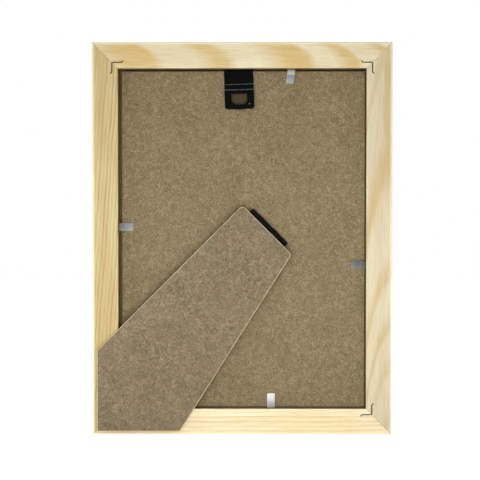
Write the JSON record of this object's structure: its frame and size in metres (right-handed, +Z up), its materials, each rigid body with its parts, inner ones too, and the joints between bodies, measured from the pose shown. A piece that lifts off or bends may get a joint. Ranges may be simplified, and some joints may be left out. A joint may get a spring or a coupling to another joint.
{
  "type": "picture frame",
  "caption": "Wooden picture frame with mitred rails, glass, recessed hardboard back, bendable tabs, a hanger clip and a diagonal easel strut for portrait or landscape.",
  "frame": {"origin": "middle of the box round the part, at the underside of the bottom rail", "axes": "+Z up as the frame stands in portrait, the picture faces -Y and the strut is on the +Y side, +X to the right of someone looking at the picture"},
  "size_m": [0.16, 0.0188, 0.2094],
  "materials": {
    "pine": "sanded, unvarnished",
    "hardboard": "matt brown fibreboard",
    "strut_board": "matt brown fibreboard",
    "black_steel": "black lacquer",
    "tab_steel": "zinc plated",
    "nail_steel": "dull spring steel",
    "clear_glass": "polished",
    "paper": "matt paper"
  },
  "bodies": {
    "frame": {"rail_top": "pine", "rail_right": "pine", "rail_bottom": "pine", "rail_left": "pine", "corner_nails": "nail_steel", "glass_pane": "clear_glass", "picture_print": "paper", "back_board": "hardboard", "hanger": "black_steel", "tab_top_shank": "tab_steel", "tab_right_shank": "tab_steel", "tab_bottom_shank": "tab_steel", "tab_left_shank": "tab_steel", "hinge_board_leaf": "black_steel", "hinge_rivets": "black_steel", "hinge_pin": "black_steel"},
    "strut": {"hinge_strut_leaf": "black_steel", "strut": "strut_board"},
    "tab_top": {"tab_top_blade": "tab_steel"},
    "tab_right": {"tab_right_blade": "tab_steel"},
    "tab_bottom": {"tab_bottom_blade": "tab_steel"},
    "tab_left": {"tab_left_blade": "tab_steel"}
  },
  "joints": [
    {"name": "strut_hinge", "type": "hinge", "parent": "frame", "child": "strut", "pos_m": [-0.0143, 0.00161, 0.1107], "axis": [0.7071, 0, 0.7071], "range_deg": [0, 33.5]},
    {"name": "tab_top_bend", "type": "hinge", "parent": "frame", "child": "tab_top", "pos_m": [-0.02628, 0.00121, 0.19465], "axis": [0.9925, 0, 0.1219], "range_deg": [0, 90]},
    {"name": "tab_right_bend", "type": "hinge", "parent": "frame", "child": "tab_right", "pos_m": [0.0655, 0.00121, 0.1111], "axis": [0, 0, -1], "range_deg": [0, 90]},
    {"name": "tab_bottom_bend", "type": "hinge", "parent": "frame", "child": "tab_bottom", "pos_m": [-0.0155, 0.00121, 0.0145], "axis": [-1, 0, 0], "range_deg": [0, 90]},
    {"name": "tab_left_bend", "type": "hinge", "parent": "frame", "child": "tab_left", "pos_m": [-0.0655, 0.00121, 0.0909], "axis": [0, 0, 1], "range_deg": [0, 90]}
  ]
}
